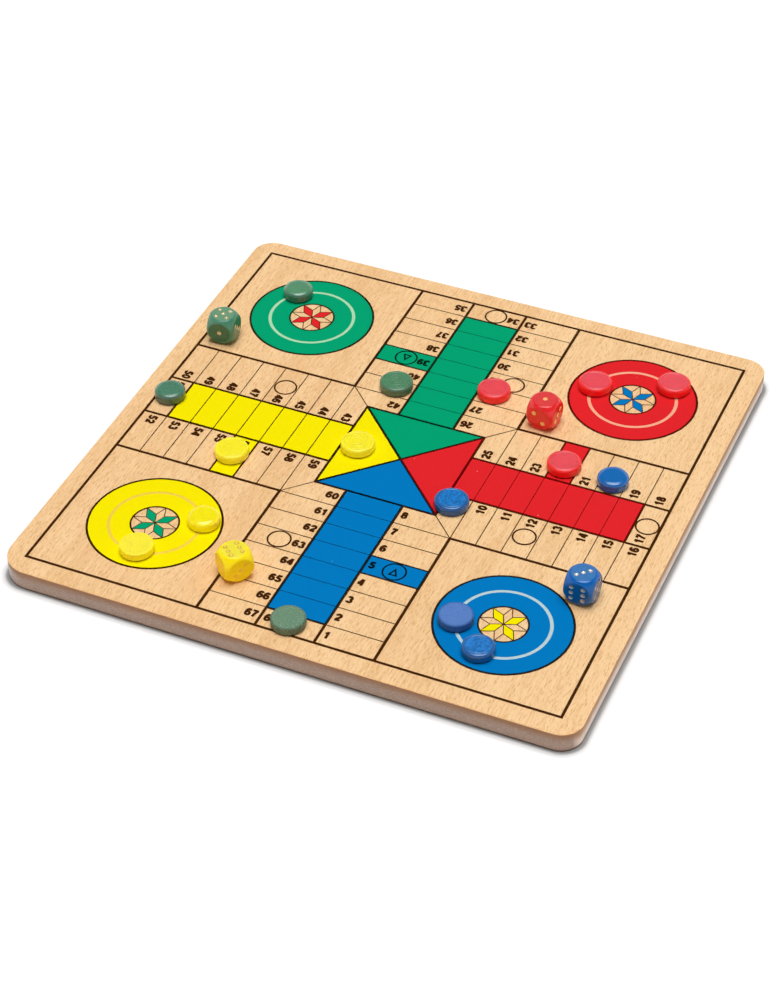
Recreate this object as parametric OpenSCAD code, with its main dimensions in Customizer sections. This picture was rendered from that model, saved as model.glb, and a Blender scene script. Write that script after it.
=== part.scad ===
// Cross and circle race game for four players: a veneered panel with a printed course,
// sixteen turned counters and four rounded dice set out in mid-game.
// Millimetres. The origin is the middle of the underside, +Z is up, the blue arm points to -Y.

/* [Board] */
// Length of each side of the square board
board_side = 330; // [310:1:420]
// Thickness of the fibreboard core
core_t = 10; // [6:0.5:18]
// Thickness of the beech veneer on each face
veneer_t = 1; // [0.8:0.1:2]
// Radius of three of the board's corners
corner_r = 12.5; // [4:0.5:24]
// Radius of the front left corner, which is sanded rounder
sanded_corner_r = 17; // [4:0.5:24]
// Width of the small chamfer along the outer edge of both veneers
edge_ease = 0.5; // [0.2:0.1:0.7]

/* [Printed course] */
// Thickness of the printed ink
print_t = 0.1; // [0.05:0.05:0.3]
// Distance from the board's edge to the middle of the frame line
frame_margin = 12; // [9:0.5:18]
// Side of the middle square that holds the four goals
goal_side = 72.4; // [62:0.2:88]
// Width of the frame line
frame_line = 1.6; // [0.8:0.1:2.5]
// Width of the lines round the home squares
home_line = 1.7; // [0.8:0.1:2.5]
// Width of the lines along the goal lanes
lane_line = 1.6; // [0.6:0.1:2]
// Width of the line that closes a goal lane at its outer end
lane_end_line = 1.4; // [0.6:0.1:2]
// Width of the lines of the goal square and its diagonals
goal_line = 1.55; // [0.6:0.05:2]
// Width of the two lines across a start square
start_line = 1.1; // [0.5:0.1:1.4]
// Width of the lines between squares
square_line = 0.55; // [0.3:0.05:0.8]
// Width of the lines across a goal lane
lane_square_line = 0.4; // [0.25:0.05:0.8]

/* [Homes and marks] */
// Diameter of a home disc, to the middle of its outline
home_d = 74; // [60:1:80]
// Width of the outline of a home disc
home_disc_line = 1.3; // [0.6:0.1:2]
// Diameter of the bare ring in a home disc, to the middle of the ring
bare_ring_d = 50.4; // [42:0.2:54]
// Width of the bare ring
bare_ring_w = 1.9; // [0.8:0.1:3]
// Diameter of the bare medallion in the middle of a home disc
medallion_d = 26.6; // [22:0.2:34]
// Width of the outline of the medallion
medallion_line = 1; // [0.5:0.1:1.5]
// Distance from the middle of a rosette to the inner corners of its petals
rosette_waist_r = 7; // [5.6:0.2:8]
// Half angle of the four plain petals of a rosette
plain_petal_angle = 21; // [18:0.5:26]
// Width of the outline of the petals
petal_line = 0.5; // [0.3:0.05:0.8]
// Diameter of the circle on a safe or start square, to the middle of its line
mark_d = 12.7; // [9:0.1:13.2]
// Line width of the circles and arrows on squares
mark_line = 1; // [0.4:0.05:1.2]
// Width of the arrow on a start square
arrow_w = 5.6; // [4:0.1:6]
// Height of the arrow on a start square
arrow_h = 6.2; // [4.5:0.1:6.5]

/* [Counters] */
// Diameter of the smooth counters
smooth_d = 17.8; // [14:0.1:21]
// Diameter of the counters with turned rings
ringed_d = 19.4; // [14:0.1:21]
// Diameter of the flat counters
flat_d = 18.9; // [14:0.1:21]
// Height of the smooth counters
smooth_h = 6.2; // [5:0.1:9]
// Height of the counters with turned rings
ringed_h = 5.5; // [4.5:0.1:9]
// Height of the flat counters
flat_h = 5; // [4.5:0.1:9]
// Rounding of the upper edge of the smooth counters
smooth_edge_r = 2.2; // [1:0.1:2.4]
// Rounding of the upper edge of the ringed counters
ringed_edge_r = 1.7; // [0.4:0.1:2]
// Rounding of the upper edge of the flat counters
flat_edge_r = 0.7; // [0.3:0.1:2]
// Rounding of the lower edge of every counter
foot_r = 1.2; // [0.3:0.1:1.6]
// Depth of the rings turned in the ringed counters
ring_depth = 0.25; // [0.1:0.05:0.5]
// Radius of the tool mark of a turned ring
ring_tool_r = 0.8; // [0.6:0.1:2]
// Flat left between the outermost ring and the rounding
ring_land = 0.15; // [0.1:0.05:1]
// Number of rings turned in a fully ringed counter
ring_count = 3; // [1:1:3]

/* [Dice] */
// Distance between opposite faces of a die
die_side = 16.8; // [12:0.1:18]
// Diameter of the ball that rounds a die's edges and corners
die_ball_d = 22; // [18.5:0.1:25]
// Width of the band that softens the rim of a die's flat faces
die_arris = 0.6; // [0.3:0.1:1.2]
// Diameter of the hollow pips
pip_d = 2.8; // [1.6:0.1:2.8]
// Depth of the hollow pips
pip_depth = 0.8; // [0.4:0.1:1.2]
// Thickness of the paint in the bottom of a pip
pip_paint_t = 0.25; // [0.1:0.05:0.35]
// Distance from the middle of a face to its rows of pips on fours, fives and sixes
pip_step = 3.3; // [2.6:0.1:3.4]
// Distance between the pips along a row of a six
six_pip_pitch = 3.7; // [3:0.1:3.8]
// Distance from the middle of a face to its outer pips on twos and threes, along each side
slant_pip_step = 2.8; // [2.6:0.1:3.4]

/* [Clearances] */
// Air between the ink and what stands on the board
rest_gap = 0.05; // [0.02:0.01:0.2]
// Air round the paint in a pip
paint_gap = 0.03; // [0.02:0.01:0.1]

/* [Hidden] */
$fn = 64;
BLUE = 0;
RED = 1;
GREEN = 2;
YELLOW = 3;
COLOURS = ["blue", "red", "green", "yellow"];
INKS = ["#0079c2", "#e6272c", "#00a371", "#fce806"];
PAINTS = ["#1a63b8", "#d92f35", "#3f8a62", "#f7e320"];
PIP_PAINTS = ["#d8d4c4", "#f0b35c", "#cfc07a", "#8f8236"];
BLACK_INK = "#2e1c10";
BEECH = "#f0c592";
FIBREBOARD = "#a5866f";

board_t = core_t + 2 * veneer_t;
rest_z = board_t + print_t + rest_gap;
frame_half = board_side / 2 - frame_margin;
goal_half = goal_side / 2;
rows = 8;
row_pitch = (frame_half - goal_half) / rows;
arm_half = goal_half + row_pitch;
lane_half = arm_half / 3;
column_x = (lane_half + arm_half) / 2;
home_c = (arm_half + frame_half) / 2;
home_half = (frame_half - arm_half) / 2;
start_row = 3;
overcut = 1;

function row_y(i) = -(goal_half + i * row_pitch);
function turned(p, a) = [p.x * cos(a) - p.y * sin(a), p.x * sin(a) + p.y * cos(a)];
function polar(r, a) = [r * cos(a), r * sin(a)];

// Places on the course. An arm's squares run out along one column, over its end and back.
squares_per_arm = 2 * rows + 1;
squares = 4 * squares_per_arm;
function arm_square(i) =
    i < rows ? [-column_x, row_y(i + 0.5)]
    : i == rows ? [0, row_y(rows - 0.5)]
    : [column_x, row_y(squares_per_arm - i - 0.5)];
function course_step(n) = (n + rows) % squares;
function square_at(n) = turned(arm_square(course_step(n) % squares_per_arm),
                               90 * floor(course_step(n) / squares_per_arm));
function home_at(colour) = turned([home_c, -home_c], 90 * colour);
function goal_at(colour) = turned([0, -goal_half * 2 / 3], 90 * colour);
start_at = [column_x, row_y(start_row + 0.5)];

// Places of pieces, from the middle of a square in rows, of a home or goal in its half width
function by_square(n, shift) = square_at(n) + row_pitch * shift;
function in_home(colour, shift) = home_at(colour) + home_d / 2 * shift;
function beside_home(colour, shift) = home_at(colour) + home_half * shift;
function in_goal(colour, shift) = goal_at(colour) + goal_half * shift;

// Kinds of counter: diameter, height, rounding of the upper edge, number of turned rings
SMOOTH = [smooth_d, smooth_h, smooth_edge_r, 0];
RINGED = [ringed_d, ringed_h, ringed_edge_r, ring_count];
RIMMED = [ringed_d, ringed_h, ringed_edge_r, 1];
SMALL_RIMMED = [smooth_d, ringed_h, ringed_edge_r, 1];
FLAT = [flat_d, flat_h, flat_edge_r, 0];
// Counters: colour, kind, place on the board
COUNTERS = [
    [BLUE, RIMMED, by_square(9, [-0.14, 0.57])],
    [BLUE, SMOOTH, by_square(20, [0, -0.51])],
    [BLUE, FLAT, in_home(BLUE, [-0.64, -0.2])],
    [BLUE, SMALL_RIMMED, in_home(BLUE, [-0.115, -0.66])],
    [RED, RIMMED, by_square(28, [-0.49, 0.14])],
    [RED, RIMMED, in_home(RED, [-0.638, 0.055])],
    [RED, RIMMED, in_home(RED, [0.503, 0.503])],
    [RED, RIMMED, by_square(22, [-0.03, -0.35])],
    [GREEN, SMOOTH, in_home(GREEN, [-0.454, 0.46])],
    [GREEN, SMOOTH, by_square(51, [0.05, 0])],
    [GREEN, RINGED, by_square(41, [0.41, 0.05])],
    [GREEN, FLAT, by_square(68, [-0.055, 0.01])],
    [YELLOW, RIMMED, by_square(56, [-0.11, 0.04])],
    [YELLOW, RINGED, in_goal(YELLOW, [-0.052, -0.011])],
    [YELLOW, SMOOTH, in_home(YELLOW, [0.673, 0.278])],
    [YELLOW, FLAT, in_home(YELLOW, [0.046, -0.643])],
];
counters_per_colour = 4;
function counter_name(i) =
    str(COLOURS[COUNTERS[i][0]], "_counter_", i % counters_per_colour + 1);

// Dice: how each one is rolled, its turn on the board and its place
DICE = [
    [[-90, -90, 0], -2, beside_home(BLUE, [0.591, 0.706])],
    [[0, 0, 0], -6, beside_home(RED, [-0.773, -0.771])],
    [[90, 0, 0], 6.5, beside_home(GREEN, [-0.779, -0.742])],
    [[180, 0, 0], -40, by_square(65, [-0.673, -0.308])],
];
function die_name(colour) = str(COLOURS[colour], "_die");
function pips_name(colour) = str(COLOURS[colour], "_die_pips");
function print_name(colour) = str(COLOURS[colour], "_print");

// Flat shapes

module bar(a, b, w) {
    run = b - a;
    translate(a)
        rotate(atan2(run.y, run.x))
            translate([0, -w / 2])
                square([norm(run), w]);
}

module ring(r, w) {
    difference() {
        circle(r + w / 2);
        circle(r - w / 2);
    }
}

module square_ring(side, w) {
    difference() {
        square(side + w, center = true);
        square(side - w, center = true);
    }
}

module between(low, high) {
    translate(low)
        square(high - low);
}

// The panel

function corner_radius(q) = q == 2 ? sanded_corner_r : corner_r;
function corner_centre(q) = turned([1, 1] * (board_side / 2 - corner_radius(q)), 90 * q);

module board_outline() {
    difference() {
        square(board_side, center = true);
        for (q = [0:3]) {
            r = corner_radius(q);
            translate(corner_centre(q))
                rotate(90 * q)
                    difference() {
                        square(r + overcut);
                        circle(r);
                    }
        }
    }
}

// What is planed off the upper outer edge of a plate of thickness t, seen across the edge
module edge_waste(r, t) {
    reach = overcut / 2;
    polygon([[r - edge_ease - reach, t + reach], [r + reach, t - edge_ease - reach], [r + reach, t + reach]]);
}

module veneer_sheet() {
    difference() {
        linear_extrude(veneer_t)
            board_outline();
        for (q = [0:3]) {
            translate(corner_centre(q))
                rotate(90 * q)
                    rotate_extrude(angle = 90)
                        edge_waste(corner_radius(q), veneer_t);
            from = corner_radius((q + 3) % 4) - board_side / 2;
            to = board_side / 2 - corner_radius(q);
            rotate(90 * q)
                translate([0, to, 0])
                    rotate([90, 0, 0])
                        linear_extrude(to - from)
                            edge_waste(board_side / 2, veneer_t);
        }
    }
}

module core_panel() {
    color(FIBREBOARD)
        translate([0, 0, veneer_t])
            linear_extrude(core_t)
                board_outline();
}

module top_veneer() {
    color(BEECH)
        translate([0, 0, veneer_t + core_t])
            veneer_sheet();
}

module back_veneer() {
    color(BEECH)
        translate([0, 0, veneer_t])
            mirror([0, 0, 1])
                veneer_sheet();
}

// The rosette in the middle of a home: eight petals, plain ones on the axes

function petal_tip(i) = polar(medallion_d / 2, 45 * i);
function petal_waist(i) = polar(rosette_waist_r, i % 2 == 0 ? 45 * i + plain_petal_angle
                                                            : 45 * (i + 1) - plain_petal_angle);

module rosette_lines() {
    ring(medallion_d / 2, medallion_line);
    for (i = [0:7]) {
        bar([0, 0], petal_waist(i), petal_line);
        bar(petal_tip(i), petal_waist(i), petal_line);
        bar(petal_tip(i + 1), petal_waist(i), petal_line);
    }
}

module coloured_petals() {
    difference() {
        for (i = [1:2:7])
            polygon([[0, 0], petal_waist(i - 1), petal_tip(i), petal_waist(i)]);
        rosette_lines();
    }
}

// An arrow whose outline is a constant width: the inner triangle shares its incentre

arrow_inner_r = arrow_w * arrow_h / (arrow_w + 2 * norm([arrow_w / 2, arrow_h]));

module arrow_shape(size) {
    incentre = [0, arrow_inner_r - arrow_h / 2];
    corners = [[-arrow_w / 2, -arrow_h / 2], [arrow_w / 2, -arrow_h / 2], [0, arrow_h / 2]];
    polygon([for (p = corners) incentre + (p - incentre) * size]);
}

module start_mark() {
    ring(mark_d / 2, mark_line);
    difference() {
        arrow_shape(1);
        arrow_shape(1 - mark_line / arrow_inner_r);
    }
}

// Black ink of one arm and of the home on its right

module home_corner_lines() {
    inner = arm_half - home_line / 2;
    outer = arm_half + home_line / 2;
    polygon([[inner, -inner], [frame_half, -inner], [frame_half, -outer],
             [outer, -outer], [outer, -frame_half], [inner, -frame_half]]);
}

module arm_lines() {
    home_corner_lines();
    bar([goal_half, -goal_half], [arm_half, -arm_half], square_line);
    for (side = [-1, 1])
        bar([side * lane_half, row_y(0)], [side * lane_half, row_y(rows)], lane_line);
    for (i = [1:rows - 1]) {
        bar([-arm_half, row_y(i)], [-lane_half, row_y(i)], square_line);
        bar([lane_half, row_y(i)], [arm_half, row_y(i)], square_line);
        bar([-lane_half, row_y(i)], [lane_half, row_y(i)], lane_square_line);
    }
    bar([-lane_half, row_y(rows - 1)], [lane_half, row_y(rows - 1)], lane_end_line);
    for (i = [start_row, start_row + 1])
        bar([lane_half, row_y(i)], [arm_half, row_y(i)], start_line);
    translate(arm_square(start_row))
        ring(mark_d / 2, mark_line);
    translate(arm_square(rows))
        ring(mark_d / 2, mark_line);
    translate(start_at)
        start_mark();
    translate([home_c, -home_c]) {
        ring(home_d / 2, home_disc_line);
        rosette_lines();
    }
}

module black_print() {
    color(BLACK_INK)
        translate([0, 0, board_t])
            linear_extrude(print_t) {
                square_ring(2 * frame_half, frame_line);
                square_ring(goal_side, goal_line);
                bar([-goal_half, -goal_half], [goal_half, goal_half], goal_line);
                bar([-goal_half, goal_half], [goal_half, -goal_half], goal_line);
                for (c = [BLUE:YELLOW])
                    rotate(90 * c)
                        arm_lines();
            }
}

// Coloured ink of one player, which fills the space between the black lines

module lane_cells() {
    x = lane_half - lane_line / 2;
    for (i = [0:rows - 2]) {
        near = i == 0 ? goal_line : lane_square_line;
        far = i == rows - 2 ? lane_end_line : lane_square_line;
        between([-x, row_y(i + 1) + far / 2], [x, row_y(i) - near / 2]);
    }
}

module start_cell() {
    difference() {
        between([lane_half + lane_line / 2, row_y(start_row + 1) + start_line / 2],
                [arm_half - home_line / 2, row_y(start_row) - start_line / 2]);
        translate(start_at)
            start_mark();
    }
}

module goal_triangle() {
    base_y = -goal_half + goal_line / 2;
    apex_y = -goal_line / 2 * sqrt(2);
    polygon([[0, apex_y], [base_y - apex_y, base_y], [apex_y - base_y, base_y]]);
}

module home_disc() {
    outer = home_d / 2 - home_disc_line / 2;
    inner = medallion_d / 2 + medallion_line / 2;
    difference() {
        circle(outer);
        ring(bare_ring_d / 2, bare_ring_w);
        circle(inner);
    }
}

module player_print(colour) {
    color(INKS[colour])
        translate([0, 0, board_t])
            linear_extrude(print_t) {
                rotate(90 * colour) {
                    lane_cells();
                    start_cell();
                    goal_triangle();
                }
                translate(home_at(colour))
                    home_disc();
                translate(home_at((colour + 1) % 4))
                    coloured_petals();
            }
}

// Counters, turned from a rod

ring_half_w = sqrt(ring_depth * (2 * ring_tool_r - ring_depth));

module counter_section(d, h, edge_r, rings) {
    r = d / 2;
    outer_ring_r = r - edge_r - ring_land - ring_half_w;
    difference() {
        union() {
            square([r - max(edge_r, foot_r), h]);
            translate([0, foot_r])
                square([r, h - foot_r - edge_r]);
            translate([0, h / 2])
                square([r - edge_r, h / 2]);
            translate([r - edge_r, h - edge_r])
                circle(edge_r);
            square([r - foot_r, h / 2]);
            translate([r - foot_r, foot_r])
                circle(foot_r);
        }
        for (i = [1:1:rings])
            translate([outer_ring_r * i / rings, h + ring_tool_r - ring_depth])
                circle(ring_tool_r);
    }
}

module counter(i) {
    colour = COUNTERS[i][0];
    kind = COUNTERS[i][1];
    place = COUNTERS[i][2];
    color(PAINTS[colour])
        translate([place.x, place.y, rest_z])
            rotate_extrude()
                counter_section(kind[0], kind[1], kind[2], kind[3]);
}

// Dice: a cube rounded by a ball, with hollow painted pips

function slant_pips(s) = [[-s, s], [s, -s]];
function corner_pips(s) = [[-s, -s], [s, s], [-s, s], [s, -s]];
FACE_PIPS = [
    [[0, 0]],
    slant_pips(slant_pip_step),
    concat([[0, 0]], slant_pips(slant_pip_step)),
    corner_pips(pip_step),
    concat([[0, 0]], corner_pips(pip_step)),
    [for (x = [-pip_step, pip_step], i = [-1:1]) [i * six_pip_pitch, x]],
];
// Turn that brings the upper face to each face in order, so that opposite faces add up to seven
FACE_TURNS = [[0, 0, 0], [90, 0, 0], [0, 90, 0], [0, -90, 0], [-90, 0, 0], [180, 0, 0]];

module at_every_pip() {
    for (face = [0:5])
        rotate(FACE_TURNS[face])
            for (p = FACE_PIPS[face])
                translate([p.x, p.y, die_side / 2])
                    children();
}

module rolled(colour) {
    roll = DICE[colour][0];
    yaw = DICE[colour][1];
    place = DICE[colour][2];
    translate([place.x, place.y, rest_z + die_side / 2])
        rotate(yaw)
            rotate(roll)
                children();
}

// Two cones on each axis soften the rim between a flat face and the ball in equal steps
flat_r = sqrt(pow(die_ball_d / 2, 2) - pow(die_side / 2, 2));
rim_slope = asin(flat_r / (die_ball_d / 2)) / 3;
rim_start = [flat_r - die_arris, die_side / 2];
rim_middle = rim_start + die_arris * [1, -tan(rim_slope)];

module rim_softener() {
    peak = rim_start.y + rim_start.x * tan(rim_slope);
    reach = rim_middle.x + rim_middle.y / tan(2 * rim_slope);
    rotate_extrude()
        polygon([[0, -peak], [rim_middle.x, -rim_middle.y], [reach, 0], rim_middle, [0, peak]]);
}

module die_blank() {
    intersection() {
        cube(die_side, center = true);
        sphere(d = die_ball_d);
        rim_softener();
        rotate([90, 0, 0])
            rim_softener();
        rotate([0, 90, 0])
            rim_softener();
    }
}

// A pip is a hollow cut by a ball end. Its paint is a shell of the same curve.
pip_ball_r = (pow(pip_d / 2, 2) + pow(pip_depth, 2)) / (2 * pip_depth);
pip_ball_z = pip_ball_r - pip_depth;

module pip_paint() {
    intersection() {
        difference() {
            translate([0, 0, pip_ball_z])
                sphere(pip_ball_r - paint_gap);
            translate([0, 0, pip_ball_z + pip_paint_t])
                sphere(pip_ball_r - paint_gap);
        }
        translate([0, 0, -pip_depth])
            cylinder(d = pip_d, h = pip_depth - paint_gap);
    }
}

module die(colour) {
    color(PAINTS[colour])
        rolled(colour)
            difference() {
                die_blank();
                at_every_pip()
                    translate([0, 0, pip_ball_z])
                        sphere(pip_ball_r);
            }
}

module die_pips(colour) {
    color(PIP_PAINTS[colour])
        rolled(colour)
            at_every_pip()
                pip_paint();
}

core_panel();
top_veneer();
back_veneer();
black_print();
for (c = [BLUE:YELLOW]) {
    player_print(c);
    die(c);
    die_pips(c);
}
for (i = [0:len(COUNTERS) - 1])
    counter(i);
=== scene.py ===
# Looks of a cross and circle race game: veneered board, printed course, painted counters and dice.
import math

import bmesh
import bpy
from mathutils import Matrix, Vector


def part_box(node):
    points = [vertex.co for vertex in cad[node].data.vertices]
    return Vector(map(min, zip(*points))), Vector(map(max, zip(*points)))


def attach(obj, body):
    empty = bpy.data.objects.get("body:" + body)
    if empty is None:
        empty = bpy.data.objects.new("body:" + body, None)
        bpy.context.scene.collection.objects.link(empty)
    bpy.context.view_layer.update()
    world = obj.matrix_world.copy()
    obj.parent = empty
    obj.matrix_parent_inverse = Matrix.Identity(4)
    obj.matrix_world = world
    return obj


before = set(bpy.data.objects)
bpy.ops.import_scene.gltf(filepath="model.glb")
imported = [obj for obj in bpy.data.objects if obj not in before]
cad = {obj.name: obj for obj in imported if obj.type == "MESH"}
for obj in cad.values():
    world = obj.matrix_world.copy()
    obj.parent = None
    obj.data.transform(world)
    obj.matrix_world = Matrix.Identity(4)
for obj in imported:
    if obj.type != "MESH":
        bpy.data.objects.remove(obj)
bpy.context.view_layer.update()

MM = 0.001
COLOURS = ("blue", "red", "green", "yellow")
BOARD_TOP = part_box("top_veneer")[1].z
CORE_LOW, CORE_HIGH = (corner.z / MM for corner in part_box("core_panel"))
BOARD_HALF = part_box("core_panel")[1].x / MM
INK_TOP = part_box("black_print")[1].z


# Nodes written as expressions

def srgb(red, green, blue):
    """A colour as a screen shows it, from 0 to 255, as the linear colour that a socket takes."""
    def linear(level):
        level /= 255
        return level / 12.92 if level <= 0.04045 else ((level + 0.055) / 1.055) ** 2.4
    return (linear(red), linear(green), linear(blue), 1.0)


class Value:
    """An output socket. Arithmetic on it adds Math nodes."""

    def __init__(self, graph, socket):
        self.graph = graph
        self.socket = socket

    def __add__(self, other):
        return self.graph.math("ADD", self, other)

    def __sub__(self, other):
        return self.graph.math("SUBTRACT", self, other)

    def __rsub__(self, other):
        return self.graph.math("SUBTRACT", other, self)

    def __mul__(self, other):
        return self.graph.math("MULTIPLY", self, other)

    __radd__ = __add__
    __rmul__ = __mul__


def named_socket(sockets, name):
    """The socket in use that has this name or identifier."""
    return next(s for s in sockets if s.enabled and name in (s.identifier, s.name))


class Graph:
    """The nodes of one material or of the world."""

    def __init__(self, tree):
        self.tree = tree
        tree.nodes.clear()

    def add(self, kind, settings, inputs, output):
        """Adds a node, sets its settings and then its sockets, and gives back one output."""
        node = self.tree.nodes.new(kind)
        for name, setting in settings.items():
            setattr(node, name, setting)
        for name, value in inputs.items():
            socket = named_socket(node.inputs, name)
            if isinstance(value, Value):
                self.tree.links.new(value.socket, socket)
            else:
                socket.default_value = value
        return Value(self, named_socket(node.outputs, output)) if output else node

    def also(self, value, output):
        """Another output of the node that a value comes from."""
        return Value(self, named_socket(value.socket.node.outputs, output))

    def math(self, operation, *values):
        inputs = dict(zip(("Value", "Value_001"), values))
        return self.add("ShaderNodeMath", {"operation": operation}, inputs, "Value")

    def place(self):
        """Where a point of the piece is, in millimetres."""
        object_place = self.add("ShaderNodeTexCoord", {}, {}, "Object")
        return self.add("ShaderNodeVectorMath", {"operation": "SCALE"},
                        {"Vector": object_place, "Scale": 1 / MM}, "Vector")

    def part(self, vector, axis):
        """A vector's part along X, Y or Z."""
        return self.add("ShaderNodeSeparateXYZ", {}, {"Vector": vector}, axis)

    def from_axis(self, place, axis_place):
        """Distance from an upright axis, in millimetres."""
        flat = self.add("ShaderNodeVectorMath", {"operation": "MULTIPLY"},
                        {"Vector": place, "Vector_001": (1, 1, 0)}, "Vector")
        return self.add("ShaderNodeVectorMath", {"operation": "DISTANCE"},
                        {"Vector": flat, "Vector_001": (axis_place.x / MM, axis_place.y / MM, 0)}, "Value")

    def stretch(self, vector, size, shift=(0, 0, 0)):
        """Coordinates in which a pattern of unit scale has this size in millimetres along X, Y and Z."""
        return self.add("ShaderNodeMapping", {},
                        {"Vector": vector, "Location": shift, "Scale": [1 / s for s in size]}, "Vector")

    def noise(self, vector, detail=2.0, roughness=0.5):
        return self.add("ShaderNodeTexNoise", {},
                        {"Vector": vector, "Scale": 1.0, "Detail": detail, "Roughness": roughness}, "Fac")

    def spots(self, vector):
        """Distance to the nearest of points strewn one to a unit."""
        return self.add("ShaderNodeTexVoronoi", {},
                        {"Vector": vector, "Scale": 1.0, "Randomness": 1.0}, "Distance")

    def chance(self, spots):
        """A random number for the spot that a distance is measured from."""
        return self.add("ShaderNodeSeparateColor", {}, {"Color": self.also(spots, "Color")}, "Red")

    def ramp(self, value, low, high, start=0.0, end=1.0):
        """Goes smoothly from start to end as the value goes from low to high."""
        return self.add("ShaderNodeMapRange", {"interpolation_type": "SMOOTHSTEP"},
                        {"Value": value, "From Min": low, "From Max": high, "To Min": start, "To Max": end},
                        "Result")

    def mix(self, share, a, b):
        return self.add("ShaderNodeMix", {"data_type": "RGBA"},
                        {"Factor_Float": share, "A_Color": a, "B_Color": b}, "Result_Color")

    def lit(self, colour, level):
        """A colour made darker or lighter by a factor."""
        return self.add("ShaderNodeMix", {"data_type": "RGBA", "blend_type": "MULTIPLY"},
                        {"Factor_Float": 1.0, "A_Color": colour, "B_Color": level}, "Result_Color")

    def bump(self, height):
        """Normals of a surface with this height in millimetres."""
        return self.add("ShaderNodeBump", {}, {"Height": height, "Distance": MM, "Strength": 1.0}, "Normal")


class Finish(Graph):
    """A material with one Principled shader."""

    def __init__(self, name):
        self.material = bpy.data.materials.new(name)
        self.material.use_nodes = True
        super().__init__(self.material.node_tree)

    def shade(self, **sockets):
        named = {name.replace("_", " ").title(): value for name, value in sockets.items()}
        named["IOR"] = 1.5
        named["Specular IOR Level"] = named.pop("Specular")
        shader = self.add("ShaderNodeBsdfPrincipled", {}, named, "BSDF")
        self.add("ShaderNodeOutputMaterial", {}, {"Surface": shader}, None)
        return self.material


def dress(node, material):
    """Gives a CAD piece its material."""
    cad[node].data.materials.clear()
    cad[node].data.materials.append(material)


# Layout of the printed course in millimetres, counted along and across an arm from the middle of the board

ROWS = 8
START_ROW = 3
GOAL_REACH = 36.2
FRAME_LINE = 1.6
FRAME_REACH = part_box("black_print")[1].x / MM - FRAME_LINE / 2
SQUARE_PITCH = (FRAME_REACH - GOAL_REACH) / ROWS
ARM_HALF = GOAL_REACH + SQUARE_PITCH
LANE_HALF = ARM_HALF / 3
LANE_END = GOAL_REACH + (ROWS - 1) * SQUARE_PITCH
START_SPAN = (GOAL_REACH + START_ROW * SQUARE_PITCH, GOAL_REACH + (START_ROW + 1) * SQUARE_PITCH)
HOME_REACH = (ARM_HALF + FRAME_REACH) / 2
HOME_PLACE = Vector((HOME_REACH * MM, -HOME_REACH * MM, 0))
HOME_RADII = (13.3, 37.0)
TINT_BLEND = 0.5


def between(n, value, low, high):
    """1 between two values, 0 outside them, with a narrow blend at each."""
    rise = n.ramp(value, low - TINT_BLEND, low + TINT_BLEND)
    return rise * n.ramp(value, high + TINT_BLEND, high - TINT_BLEND)


def on_arm(n, place, player):
    """The place turned to where the first player's arm is, and the distances across and along that arm."""
    arm = n.add("ShaderNodeVectorRotate", {"rotation_type": "Z_AXIS"},
                {"Vector": place, "Angle": -math.radians(90 * player)}, "Vector")
    return arm, n.part(arm, "X"), 0.0 - n.part(arm, "Y")


def on_home(n, arm):
    """1 on a player's home disc, round its medallion."""
    return between(n, n.from_axis(arm, HOME_PLACE), *HOME_RADII)


# Wood

BEECH_PALE = srgb(254, 213, 161)
BEECH_DARK = srgb(242, 195, 140)
BEECH_TONES = (0.38, 0.62)
BAND_SIZE = (14, 240, 14)
FIBRE_SIZE = (0.8, 14, 0.8)
PAINTED_LIGHT_DRIFT = 0.0002
FLECK = srgb(208, 143, 80)
FLECK_STRENGTH = 0.8
LONG_FLECK = (0.7, 5.4, 0.7)
SHORT_FLECK = (0.55, 3.4, 0.55)
SHORT_FLECK_STRENGTH = 0.8
FLECK_EDGE = (0.45, 0.1)
FLECK_CHANCE = (0.15, 0.85)
HOME_TINTS = (srgb(174, 213, 222), srgb(252, 174, 143), srgb(158, 226, 184), srgb(247, 213, 40))
HOME_TINT = 0.85
BACK_SHIFT = (40, 90, 0)
EDGE_BLEND = 0.4
RAGGED_SIZE = (1.4, 1.4, 30)
BURNT = srgb(158, 122, 94)
BURNT_PAINTED_LIGHT_END = srgb(180, 145, 112)
BURNT_UP_TO = CORE_HIGH + 0.45
BURNT_DEPTH = 3
BURNT_BLEND = 6
BURNT_DROP_AT_END = 2.3
# Painted shade along the bottom edge of the board, where it meets the floor
PAINTED_EDGE_SHADE = srgb(150, 131, 120)
PAINTED_EDGE_SHADE_UP_TO = CORE_LOW + 9
FIBRE_PALE = srgb(174, 153, 139)
FIBRE_DARK = srgb(148, 127, 114)
FIBRE_PAINTED_LIGHT_END = srgb(236, 223, 213)
FIBRE_TONES = (0.3, 0.7)
FIBREBOARD_SIZE = (1.3, 1.3, 0.6)
FIBREBOARD_SPECK = (0.8, 0.8, 0.5)
END_BLEND = 3.5
PAINTED_LIGHT_AT_END = 0.9


def fleck_layer(n, place, size, shift):
    """Flecks of one size in millimetres, some of them fainter."""
    spots = n.spots(n.stretch(place, size, shift))
    return n.ramp(spots, *FLECK_EDGE) * n.ramp(n.chance(spots), *FLECK_CHANCE)


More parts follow.
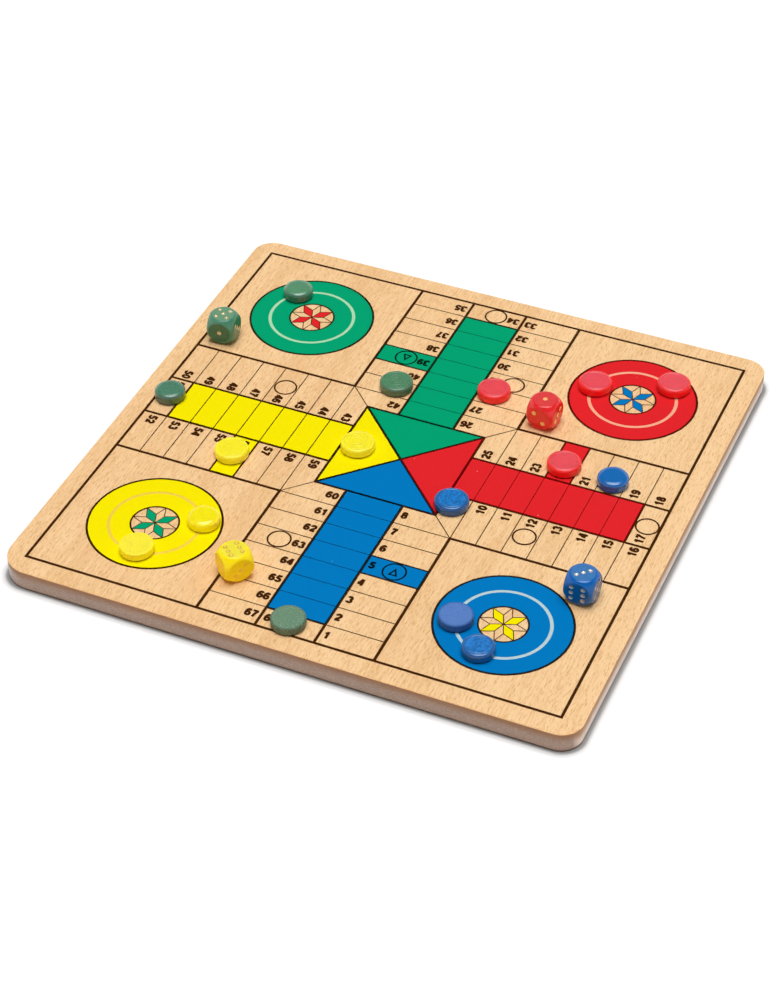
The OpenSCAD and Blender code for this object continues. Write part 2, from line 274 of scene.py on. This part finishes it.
def beech(n, place, shift=(0, 0, 0)):
    """Colour of beech whose grain runs along Y, its short dark flecks, and its fibres."""
    band = n.noise(n.stretch(place, BAND_SIZE, shift), detail=3.0)
    fibre = n.noise(n.stretch(place, FIBRE_SIZE, shift), detail=3.0)
    long_flecks = fleck_layer(n, place, LONG_FLECK, shift)
    short_flecks = SHORT_FLECK_STRENGTH * fleck_layer(n, place, SHORT_FLECK, shift)
    flecks = n.math("MAXIMUM", long_flecks, short_flecks)
    # Painted light: the tone rises slowly towards +X, so the left of the board is darker
    painted_light_drift = PAINTED_LIGHT_DRIFT * n.part(place, "X")
    tone = n.ramp(0.4 * band + 0.6 * fibre + painted_light_drift, *BEECH_TONES)
    return n.mix(FLECK_STRENGTH * flecks, n.mix(tone, BEECH_DARK, BEECH_PALE), FLECK), flecks, fibre


def below(n, place, height, blend, lowered=0.0):
    """1 below a ragged line at this height in millimetres, 0 above it, with a blend of this width."""
    ragged = n.noise(n.stretch(place, RAGGED_SIZE), detail=3.0, roughness=0.65)
    level = n.part(place, "Z") + 0.5 * blend * (ragged - 0.5) + lowered
    return n.ramp(level, height + blend / 2, height - blend / 2)


def veneer(name, shift, edge_height, edge_colour, home_tints=()):
    """Varnished beech, another colour along its edge below a height (saw burn on the top veneer, painted
    shade on the back veneer), and tinted where homes leave it bare.
    """
    n = Finish(name)
    place = n.place()
    wood, flecks, fibre = beech(n, place, shift)
    for player, tint in enumerate(home_tints):
        wood = n.mix(HOME_TINT * on_home(n, on_arm(n, place, player)[0]), wood, tint)
    colour = n.mix(below(n, place, edge_height, EDGE_BLEND), wood, edge_colour)
    return n.shade(base_color=colour, roughness=0.36 + 0.14 * fibre, specular=0.2,
                   normal=n.bump(0.02 * fibre - 0.02 * flecks))


def fibreboard():
    """Sawn edge of fibreboard, sealed below, burnt by the saw above, and painted paler at the end towards
    +X as painted light.
    """
    n = Finish("fibreboard")
    place = n.place()
    fibres = n.noise(n.stretch(place, FIBREBOARD_SIZE), detail=4.0, roughness=0.7)
    specks = n.spots(n.stretch(place, FIBREBOARD_SPECK))
    tone = n.ramp(0.75 * fibres + 0.25 * n.chance(specks), *FIBRE_TONES)
    # Painted light: the end towards +X and its burnt band are paler, standing in for the brighter light and
    # sheen on that side
    end = n.ramp(n.part(place, "X"), BOARD_HALF - END_BLEND, BOARD_HALF)
    sealed = below(n, place, CORE_HIGH - BURNT_DEPTH, BURNT_BLEND, BURNT_DROP_AT_END * end)
    fibre = n.mix(PAINTED_LIGHT_AT_END * end, n.mix(tone, FIBRE_DARK, FIBRE_PALE), FIBRE_PAINTED_LIGHT_END)
    colour = n.mix(sealed, n.mix(end, BURNT, BURNT_PAINTED_LIGHT_END), fibre)
    return n.shade(base_color=colour, roughness=0.5, specular=0.15, coat_weight=sealed, coat_roughness=0.1,
                   normal=n.bump(0.03 * fibres))


# Ink and paint

INKS = {"black": srgb(68, 34, 6), "blue": srgb(0, 122, 193), "red": srgb(230, 38, 43),
        "green": srgb(0, 163, 113), "yellow": srgb(253, 235, 2)}
BLACK_OVER = {"blue": srgb(2, 26, 34), "red": srgb(104, 0, 2),
              "green": srgb(0, 34, 18), "yellow": srgb(44, 28, 0)}
INK_SPREAD = (0.37, 0.25)
SPREAD_FROM = (GOAL_REACH + 1, GOAL_REACH + 2)
PALE_SPECK = srgb(236, 226, 212)
MISSED_SPACING = (11, 11, 11)
MISSED_EDGE = (0.035, 0.02)
MISSED_CHANCE = (0.55, 0.6)
MISSED_STRENGTH = 0.4
SKIN_SIZE = (0.7, 0.7, 0.7)
CLOUD_SIZE = (4, 4, 4)


def coloured(n, place, player):
    """1 where a player's lane, goal, start square and home disc are printed, 0 elsewhere."""
    arm, across, along = on_arm(n, place, player)
    aside = n.math("ABSOLUTE", across)
    near = n.math("MAXIMUM", between(n, aside, -LANE_HALF, LANE_HALF), between(n, along, 0, GOAL_REACH))
    lane = near * n.ramp(along - aside, -TINT_BLEND, TINT_BLEND) * between(n, along, 0, LANE_END)
    start = between(n, across, LANE_HALF, ARM_HALF) * between(n, along, *START_SPAN)
    return n.math("MAXIMUM", lane, n.math("MAXIMUM", start, on_home(n, arm)))


def beside_lines(n, place, player):
    """1 along the lines across a player's lane."""
    _, across, along = on_arm(n, place, player)
    from_line = n.math("PINGPONG", along - GOAL_REACH, SQUARE_PITCH / 2)
    in_lane = between(n, across, -LANE_HALF, LANE_HALF) * n.ramp(along, *SPREAD_FROM)
    return in_lane * n.ramp(from_line, *INK_SPREAD)


def ink(colour):
    """Glossy ink over the wood's grain, with a few pale specks where it did not take.

    Black takes a tint of the colour that it is printed over, and spreads a little into yellow."""
    n = Finish(colour + "_ink")
    place = n.place()
    _, flecks, fibre = beech(n, place)
    tint = INKS[colour]
    if colour == "black":
        for player, under in enumerate(COLOURS):
            tint = n.mix(coloured(n, place, player), tint, BLACK_OVER[under])
    if colour == "yellow":
        tint = n.mix(beside_lines(n, place, COLOURS.index(colour)), tint, BLACK_OVER[colour])
    missed = n.spots(n.stretch(place, MISSED_SPACING))
    specks = n.ramp(missed, *MISSED_EDGE) * n.ramp(n.chance(missed), *MISSED_CHANCE)
    level = 1.03 - 0.05 * flecks - 0.04 * fibre
    film = n.mix(MISSED_STRENGTH * specks, n.lit(tint, level), PALE_SPECK)
    return n.shade(base_color=film, roughness=0.14 + 0.06 * fibre, specular=0.1,
                   normal=n.bump(0.004 * fibre - 0.004 * flecks))


def paint_skin(n, place, colour):
    """A colour with the unevenness of brushed paint, the height of that unevenness, and its finer part."""
    skin = n.noise(n.stretch(place, SKIN_SIZE), detail=3.0)
    cloud = n.noise(n.stretch(place, CLOUD_SIZE), detail=2.0)
    return n.lit(colour, 0.78 + 0.26 * skin + 0.18 * cloud), 0.012 * skin + 0.03 * cloud, skin


# Counters

FACE_EDGE = (0.98, 0.82)
FOOT_PAINTED_SHADE = 0.3
FOOT_PAINTED_SHADE_HEIGHT = (0.1, 1.3)
RIDGE_SHARE = 0.8
RIDGE_HALF = 0.8
DOME_EDGE = (3.1, 1.3)
CRACKLE_SIZE = (1.3, 1.7, 1.3)
CRACKLE_SPAN = (0.38, 0.6)
CRACKLE_EDGE = (0.84, 0.7)
TURNING_PITCH = 0.9
GRAIN_SIZE = (0.9, 0.9, 0.9)
GRAIN_SPAN = (0.3, 0.7)
DUST_SIZE = (0.55, 0.55, 0.55)
DUST_EDGE = (0.4, 0.2)
DUST_CHANCE = (0.4, 0.9)
DUST_FROM = 0.5
DUST_IN_MIDDLE = 0.35


def crackle_ridges(n, place, from_axis, radius):
    """1 on the ridges of crackled paint, inside the rim of a counter's face."""
    wrinkles = n.noise(n.stretch(place, CRACKLE_SIZE), detail=2.0, roughness=0.6)
    outer, inner = (share * radius for share in CRACKLE_EDGE)
    return n.ramp(wrinkles, *CRACKLE_SPAN) * n.ramp(from_axis, outer, inner)


def dust(n, place, from_axis, radius):
    """Share of pale specks, fewer in the middle of a counter."""
    spots = n.spots(n.stretch(place, DUST_SIZE))
    spread = n.ramp(from_axis, DUST_FROM * radius, radius, DUST_IN_MIDDLE, 1.0)
    return spread * n.ramp(spots, *DUST_EDGE) * n.ramp(n.chance(spots), *DUST_CHANCE)


def counter_paint(node, face, side, roughness, dome=0.0, ridge=0.0, crackle=0.0, turned=0.0, grain=0.0,
                  specks=0.0, gloss=0.0):
    """Paint of a counter, one colour on the face, paler partly from wear and partly as a painted sheen, one
    round the side, and a painted shade that darkens it towards the lower arris.

    The face may be domed, have a ridge round it, be crackled, show marks of turning, be grainy, carry pale
    specks or have a gloss coat."""
    n = Finish(node + "_paint")
    place = n.place()
    low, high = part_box(node)
    from_axis = n.from_axis(place, (low + high) / 2)
    radius = (high.x - low.x) / 2 / MM
    outer, inner = (share * radius for share in FACE_EDGE)
    # The face colour is paler partly from wear and partly as a painted sheen; the side colour is painted
    # light for how the side is lit
    colour = n.mix(n.ramp(from_axis, outer, inner), srgb(*side), srgb(*face))
    # Painted shade: darker towards the lower arris, standing in for the shadow under the counter's rounded
    # foot
    foot_shade_level = n.ramp(n.part(place, "Z") - low.z / MM, *FOOT_PAINTED_SHADE_HEIGHT, FOOT_PAINTED_SHADE, 1.0)
    shade, height, skin = paint_skin(n, place, n.lit(colour, foot_shade_level))
    if ridge:
        crest = RIDGE_SHARE * radius
        rise = n.ramp(from_axis, crest - RIDGE_HALF, crest)
        height = height + ridge * rise * n.ramp(from_axis, crest + RIDGE_HALF, crest)
    if dome:
        inner, outer = (radius - inset for inset in DOME_EDGE)
        height = height - dome * n.ramp(from_axis, inner, outer)
    if crackle:
        ridges = crackle_ridges(n, place, from_axis, radius)
        height = height + crackle * ridges
        shade = n.lit(shade, 0.82 + 0.55 * ridges)
    if turned:
        height = height + turned * n.math("SINE", from_axis * (2 * math.pi / TURNING_PITCH))
    if grain:
        fine = n.noise(n.stretch(place, GRAIN_SIZE), detail=2.0, roughness=0.7)
        shade = n.lit(shade, n.ramp(fine, *GRAIN_SPAN, 1 - grain, 1 + grain))
    if specks:
        shade = n.mix(specks * dust(n, place, from_axis, radius), shade, PALE_SPECK)
    return n.shade(base_color=shade, roughness=roughness + 0.08 * skin, specular=0.5, coat_weight=gloss,
                   coat_roughness=0.08, normal=n.bump(height))


# Dice, with blends in millimetres below the ball, the top flat and the top of the pips

BALL_EDGE = (0.05, 0.6)
TOP_FLAT_EDGE = (0.3, 0.1)
TOP_PIP_EDGE = (1.5, 1.2)
PIP_SKIN_SIZE = (0.5, 0.5, 0.5)


def blend_below(n, value, limit, depths):
    """Goes from 0 to 1 between two depths in millimetres below a limit."""
    return n.ramp(value, limit - depths[0], limit - depths[1])


def die_paint(node, ball, flats, top, gloss):
    """Clear-coated paint, one colour on the ball's rounding, a darker one on the flats as painted shade,
    and a paler one on the top flat as painted sheen.
    """
    n = Finish(node + "_paint")
    place = n.place()
    low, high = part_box(node)
    centre = (low + high) / 2
    ball_radius = max((v.co - centre).length for v in cad[node].data.vertices) / MM
    from_centre = n.add("ShaderNodeVectorMath", {"operation": "DISTANCE"},
                        {"Vector": place, "Vector_001": centre / MM}, "Value")
    # Painted light: flats darker as painted shade, the top flat paler as painted sheen, by place in the
    # die's rest pose
    flats_painted_shade = blend_below(n, from_centre, ball_radius, BALL_EDGE)
    painted_lit_top = blend_below(n, n.part(place, "Z"), high.z / MM, TOP_FLAT_EDGE)
    colour = n.mix(flats_painted_shade, srgb(*ball), n.mix(painted_lit_top, srgb(*flats), srgb(*top)))
    shade, height, skin = paint_skin(n, place, colour)
    return n.shade(base_color=shade, roughness=0.5 + 0.08 * skin, specular=0.05, coat_weight=gloss,
                   coat_roughness=0.1, normal=n.bump(height))


def pip_paint(node, top, sides, metallic):
    """Paint in the pips, one colour in those of the top flat and one in the others, the two differing as
    painted light.
    """
    n = Finish(node + "_paint")
    place = n.place()
    skin = n.noise(n.stretch(place, PIP_SKIN_SIZE), detail=2.0)
    # Painted light: the pips on the top flat and those on the sides are lit and shaded copies of one paint
    painted_lit_top = blend_below(n, n.part(place, "Z"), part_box(node)[1].z / MM, TOP_PIP_EDGE)
    colour = n.mix(painted_lit_top, srgb(*sides), srgb(*top))
    return n.shade(base_color=n.lit(colour, 0.8 + 0.4 * skin), roughness=0.32, specular=0.5,
                   metallic=metallic, normal=n.bump(0.05 * skin))


# Dress the CAD pieces

dress("top_veneer", veneer("beech_top", (0, 0, 0), BURNT_UP_TO, BURNT, HOME_TINTS))
# The back veneer takes a darker grey-brown as painted shade along the bottom edge of the board
dress("back_veneer", veneer("beech_back", BACK_SHIFT, PAINTED_EDGE_SHADE_UP_TO, PAINTED_EDGE_SHADE))
dress("core_panel", fibreboard())
for ink_name in INKS:
    dress(ink_name + "_print", ink(ink_name))

# A counter's face, side, roughness and marks; the face is paler partly from wear and partly as painted
# sheen, and the side colour is set lighter or darker as painted light for how the side is lit
COUNTER_LOOKS = {
    "blue_counter_1": ((14, 112, 186), (16, 92, 172), 0.2, {"crackle": 0.05, "gloss": 0.2}),
    "blue_counter_2": ((2, 106, 184), (2, 98, 188), 0.2, {"dome": 0.4, "gloss": 0.5}),
    "blue_counter_3": ((76, 121, 192), (32, 90, 162), 0.6, {"grain": 0.15}),
    "blue_counter_4": ((32, 114, 188), (16, 90, 170), 0.2, {"crackle": 0.05, "gloss": 0.2}),
    "red_counter_1": ((236, 66, 78), (248, 30, 34), 0.34, {"ridge": 0.15, "turned": 0.008, "grain": 0.05}),
    "red_counter_2": ((238, 70, 83), (254, 22, 30), 0.34, {"ridge": 0.15, "turned": 0.012, "grain": 0.05}),
    "red_counter_3": ((238, 74, 86), (248, 24, 32), 0.34, {"ridge": 0.15, "turned": 0.012, "grain": 0.05}),
    "red_counter_4": ((237, 74, 84), (254, 28, 32), 0.34, {"ridge": 0.15, "turned": 0.008, "grain": 0.05}),
    "green_counter_1": ((87, 148, 110), (54, 112, 92), 0.22, {"dome": 0.4, "grain": 0.06, "gloss": 0.5}),
    "green_counter_2": ((75, 130, 104), (68, 102, 88), 0.24, {"dome": 0.4, "grain": 0.06, "gloss": 0.4}),
    "green_counter_3": ((76, 133, 94), (84, 116, 92), 0.28, {"turned": 0.016, "grain": 0.06}),
    "green_counter_4": ((97, 136, 106), (76, 104, 82), 0.6, {"turned": 0.004, "grain": 0.2, "specks": 0.6}),
    "yellow_counter_1": ((254, 238, 16), (255, 246, 40), 0.36, {"turned": 0.01}),
    "yellow_counter_2": ((254, 238, 16), (255, 246, 44), 0.34, {"turned": 0.012}),
    "yellow_counter_3": ((254, 238, 2), (255, 246, 20), 0.22, {"dome": 0.4, "gloss": 0.15}),
    "yellow_counter_4": ((254, 237, 44), (255, 244, 30), 0.42, {"grain": 0.04}),
}
for node, (face, side, roughness, marks) in COUNTER_LOOKS.items():
    dress(node, counter_paint(node, face, side, roughness, **marks))

# A die's rounding, flats, top flat, gloss, pips on top, other pips, and how metallic its pips are; the
# flats are darker as painted shade, the top flat paler as painted sheen, and the two pip colours differ as
# painted light
DICE_LOOKS = {
    "blue": ((0, 98, 186), (4, 87, 163), (64, 124, 186), 0.75, (220, 221, 224), (174, 168, 158), 1.0),
    "red": ((236, 38, 44), (229, 35, 36), (230, 66, 68), 0.9, (255, 194, 116), (255, 206, 128), 0.0),
    "green": ((74, 136, 112), (60, 112, 84), (110, 157, 122), 0.8, (208, 198, 156), (208, 198, 156), 0.6),
    "yellow": ((255, 236, 8), (253, 227, 8), (248, 232, 68), 0.4, (236, 200, 64), (255, 214, 44), 0.1),
}
for colour, (ball, flats, top, gloss, top_pips, side_pips, metallic) in DICE_LOOKS.items():
    dress(colour + "_die", die_paint(colour + "_die", ball, flats, top, gloss))
    dress(colour + "_die_pips", pip_paint(colour + "_die_pips", top_pips, side_pips, metallic))


# Square numbers, printed round the course, with strokes measured in heights of a figure

ARMS = len(COLOURS)
SQUARES_PER_ARM = 2 * ROWS + 1
SQUARES = ARMS * SQUARES_PER_ARM
FIGURE_HEIGHT = 5.1 * MM
FIGURE_WIDTH = 0.64 * FIGURE_HEIGHT
FIGURE_PITCH = 3.72 * MM
STROKE_WIDTH = 0.295
NUMBER_RISE = 0.02 * MM
STROKE_STEP = 0.004 * MM
NUMBER_START = {"left": -18.9 * MM, "right": 19.3 * MM, "end": -14.6 * MM}
NUMBER_SHIFT = 0.4 * MM
ARC_STEPS = 24
SAME_PLACE = 1e-6


def arc(x, y, radius_x, radius_y, start, end):
    """Points of an elliptical arc between two angles in degrees."""
    turns = [math.radians(start + (end - start) * i / ARC_STEPS) for i in range(ARC_STEPS + 1)]
    return [(x + radius_x * math.cos(a), y + radius_y * math.sin(a)) for a in turns]


def upside_down(strokes):
    """The strokes of a figure turned by half a turn."""
    return [[(FIGURE_WIDTH / FIGURE_HEIGHT - x, 1 - y) for x, y in stroke] for stroke in strokes]


SIX = [arc(0.32, 0.315, 0.225, 0.22, -180, 180), arc(0.34, 0.5, 0.245, 0.405, 190, 38)]
FIGURES = {
    "0": [arc(0.32, 0.5, 0.225, 0.405, -90, 270)],
    "1": [[(0.37, 0), (0.37, 1)], [(0.09, 0.7), (0.25, 0.76), (0.37, 0.93)]],
    "2": [arc(0.32, 0.68, 0.225, 0.225, 180, -20) + [(0.42, 0.43), (0.24, 0.28), (0.13, 0.13)],
          [(0.03, 0.09), (0.61, 0.09)]],
    "3": [arc(0.3, 0.705, 0.2, 0.2, 165, -90), arc(0.3, 0.3, 0.24, 0.21, 90, -165)],
    "4": [[(0.43, 0.97), (0.07, 0.31)], [(0, 0.29), (0.64, 0.29)], [(0.46, 0), (0.46, 1)]],
    "5": [[(0.11, 0.91), (0.58, 0.91)], [(0.18, 0.92), (0.12, 0.46)],
          arc(0.3, 0.32, 0.24, 0.225, 135, -165)],
    "6": SIX,
    "7": [[(0.02, 0.91), (0.62, 0.91)], [(0.54, 0.9), (0.39, 0.62), (0.29, 0.34), (0.24, 0)]],
    "8": [arc(0.32, 0.715, 0.195, 0.19, -90, 270), arc(0.32, 0.3, 0.225, 0.205, 90, 450)],
    "9": upside_down(SIX),
}


def add_stroke(ink_lines, points, low, high):
    """A ribbon of ink along a line of points, with square ends, between two heights."""
    count = len(points)
    closed = (Vector(points[0]) - Vector(points[-1])).length < SAME_PLACE
    sides = []
    for i in range(count):
        before = Vector(points[i - 1] if i else points[-2] if closed else points[0])
        after = Vector(points[i + 1] if i + 1 < count else points[1] if closed else points[-1])
        along = (after - before).normalized()
        across = Vector((-along.y, along.x)) * STROKE_WIDTH / 2
        sides.append([Vector(points[i]) + across, Vector(points[i]) - across])
    rows = [[ink_lines.verts.new((x * FIGURE_HEIGHT, y * FIGURE_HEIGHT, low)) for x, y in pair]
            for pair in sides]
    faces = [ink_lines.faces.new((a[0], a[1], b[1], b[0])) for a, b in zip(rows, rows[1:])]
    raised = bmesh.ops.extrude_face_region(ink_lines, geom=faces)["geom"]
    verts = [v for v in raised if isinstance(v, bmesh.types.BMVert)]
    bmesh.ops.translate(ink_lines, verts=verts, vec=(0, 0, high - low))


def square_numbers():
    """All the numbers in one piece, two to a row along each arm and one at its end."""
    ink_lines = bmesh.new()
    for square in range(1, SQUARES + 1):
        arm, step = divmod((square + ROWS) % SQUARES, SQUARES_PER_ARM)
        if step < ROWS:
            row, side = step, "left"
        elif step == ROWS:
            row, side = ROWS - 1, "end"
        else:
            row, side = SQUARES_PER_ARM - 1 - step, "right"
        text = str(square)
        width = FIGURE_WIDTH + FIGURE_PITCH * (len(text) - 1)
        x = NUMBER_START[side] - (width if side == "left" else 0)
        y = -(GOAL_REACH + (row + 0.5) * SQUARE_PITCH) * MM + NUMBER_SHIFT - FIGURE_HEIGHT / 2
        turn = Matrix.Rotation(math.radians(90 * arm), 4, "Z")
        for i, figure in enumerate(text):
            before = len(ink_lines.verts)
            for j, stroke in enumerate(FIGURES[figure]):
                add_stroke(ink_lines, stroke, BOARD_TOP, INK_TOP + NUMBER_RISE + j * STROKE_STEP)
            ink_lines.verts.ensure_lookup_table()
            place = turn @ Matrix.Translation((x + i * FIGURE_PITCH, y, 0))
            bmesh.ops.transform(ink_lines, matrix=place, verts=ink_lines.verts[before:])
    bmesh.ops.recalc_face_normals(ink_lines, faces=ink_lines.faces)
    mesh = bpy.data.meshes.new("square_numbers")
    ink_lines.to_mesh(mesh)
    ink_lines.free()
    piece = bpy.data.objects.new("square_numbers", mesh)
    bpy.context.scene.collection.objects.link(piece)
    return piece


numbers = square_numbers()
numbers.data.materials.append(cad["black_print"].data.materials[0])
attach(numbers, "board")


# Camera at the photograph's place

CAMERA_PLACE = (0.4175, -0.9653, 0.8892)
CAMERA_AZIMUTH = 23.86
CAMERA_ELEVATION = 40.78
CAMERA_ROLL = -0.53
CAMERA_LENS = 87.9
SENSOR_WIDTH = 36

camera = bpy.data.objects.new("camera", bpy.data.cameras.new("camera"))
camera.data.sensor_width = SENSOR_WIDTH
camera.data.lens = CAMERA_LENS
turn = Matrix.Rotation(math.radians(CAMERA_AZIMUTH), 4, "Z")
tilt = Matrix.Rotation(math.radians(90 - CAMERA_ELEVATION), 4, "X")
roll = Matrix.Rotation(math.radians(CAMERA_ROLL), 4, "Z")
camera.matrix_world = Matrix.Translation(CAMERA_PLACE) @ turn @ tilt @ roll
bpy.context.scene.collection.objects.link(camera)
bpy.context.scene.camera = camera


# White floor, which the camera sees shaded along the board and glowing a little away from it

FLOOR_GREY = (0.8, 0.8, 0.8, 1)
FLOOR_GLOW = 0.27
FLOOR_GAP = 0.5 * MM
SHADOW_WIDTH = 6
SHADOW_SHIFT = (1.0, 0.0)
CONTACT_WIDTH = 2.3
CONTACT_SHADE = 0.5
CORNER_RADIUS = 12.5
FLOOR_HALF = 4.0


def seen(n):
    """1 for rays from the camera and for those that shine or pass through to what it sees."""
    camera_ray = n.add("ShaderNodeLightPath", {}, {}, "Is Camera Ray")
    glossy_ray = n.also(camera_ray, "Is Glossy Ray")
    passing_ray = n.also(camera_ray, "Is Transmission Ray")
    return n.math("MAXIMUM", camera_ray, n.math("MAXIMUM", glossy_ray, passing_ray))


def white_floor():
    """Matte white, whose shade and glow follow the distance from the board's rounded outline."""
    n = Finish("white_floor")
    place = n.place()
    straight = BOARD_HALF - CORNER_RADIUS
    x, y = (n.math("MAXIMUM", n.math("ABSOLUTE", n.part(place, axis) - shift) - straight, 0.0)
            for axis, shift in zip("XY", SHADOW_SHIFT))
    outside = n.math("SQRT", x * x + y * y) - CORNER_RADIUS
    clear = n.ramp(outside, 0, SHADOW_WIDTH)
    contact = n.ramp(outside, 0, CONTACT_WIDTH, CONTACT_SHADE, 1.0)
    camera_ray = n.add("ShaderNodeLightPath", {}, {}, "Is Camera Ray")
    paint = n.mix(camera_ray, FLOOR_GREY, n.lit(FLOOR_GREY, contact))
    matte = n.add("ShaderNodeBsdfDiffuse", {}, {"Color": paint}, "BSDF")
    glow = n.add("ShaderNodeEmission", {}, {"Strength": FLOOR_GLOW}, "Emission")
    both = n.add("ShaderNodeAddShader", {}, {"Shader": matte, "Shader_001": glow}, "Shader")
    look = n.add("ShaderNodeMixShader", {},
                 {"Fac": clear * seen(n), "Shader": matte, "Shader_001": both}, "Shader")
    n.add("ShaderNodeOutputMaterial", {}, {"Surface": look}, None)
    return n.material


floor_mesh = bmesh.new()
bmesh.ops.create_grid(floor_mesh, x_segments=1, y_segments=1, size=FLOOR_HALF)
bmesh.ops.translate(floor_mesh, verts=floor_mesh.verts, vec=(0, 0, -FLOOR_GAP))
floor = bpy.data.objects.new("floor", bpy.data.meshes.new("floor"))
floor_mesh.to_mesh(floor.data)
floor_mesh.free()
floor.data.materials.append(white_floor())
bpy.context.scene.collection.objects.link(floor)


# Studio: a soft light overhead in a dim room, a warm glow along the horizon and a white backdrop

SOFTBOX_AXIS = (0.018, 0.046, 0.9988)
SOFTBOX_LEVEL = 7.36
SOFTBOX_EDGE = (28, 8)
COOL = (0.95, 0.98, 1.0, 1)
ROOM_LEVEL = 0.09
HORIZON_LEVEL = 3.0
HORIZON_HEIGHT = (0.1, 0.2)
WARM = (1.0, 0.62, 0.33, 1)
BACKDROP_HEIGHT = (0.4, 0.5)
WHITE = (1, 1, 1, 1)

world = bpy.data.worlds.new("studio")
world.use_nodes = True
bpy.context.scene.world = world
sky = Graph(world.node_tree)
direction = sky.add("ShaderNodeTexCoord", {}, {}, "Generated")
towards = sky.add("ShaderNodeVectorMath", {"operation": "DOT_PRODUCT"},
                  {"Vector": direction, "Vector_001": SOFTBOX_AXIS}, "Value")
outer, inner = (math.cos(math.radians(angle)) for angle in SOFTBOX_EDGE)
studio = sky.ramp(towards, outer, inner, ROOM_LEVEL, SOFTBOX_LEVEL)
horizon = sky.ramp(sky.part(direction, "Z"), *HORIZON_HEIGHT, HORIZON_LEVEL, 0.0)
overhead = sky.add("ShaderNodeBackground", {}, {"Color": COOL, "Strength": studio}, "Background")
around = sky.add("ShaderNodeBackground", {}, {"Color": WARM, "Strength": horizon}, "Background")
light = sky.add("ShaderNodeAddShader", {}, {"Shader": overhead, "Shader_001": around}, "Shader")
backdrop = sky.add("ShaderNodeBackground", {}, {"Color": WHITE, "Strength": 1.0}, "Background")
near_floor = sky.ramp(sky.part(direction, "Z"), *BACKDROP_HEIGHT, 1.0, 0.0)
view = sky.add("ShaderNodeMixShader", {},
               {"Fac": near_floor * seen(sky), "Shader": light, "Shader_001": backdrop}, "Shader")
sky.add("ShaderNodeOutputWorld", {}, {"Surface": view}, None)

bpy.context.scene.view_settings.view_transform = "Standard"
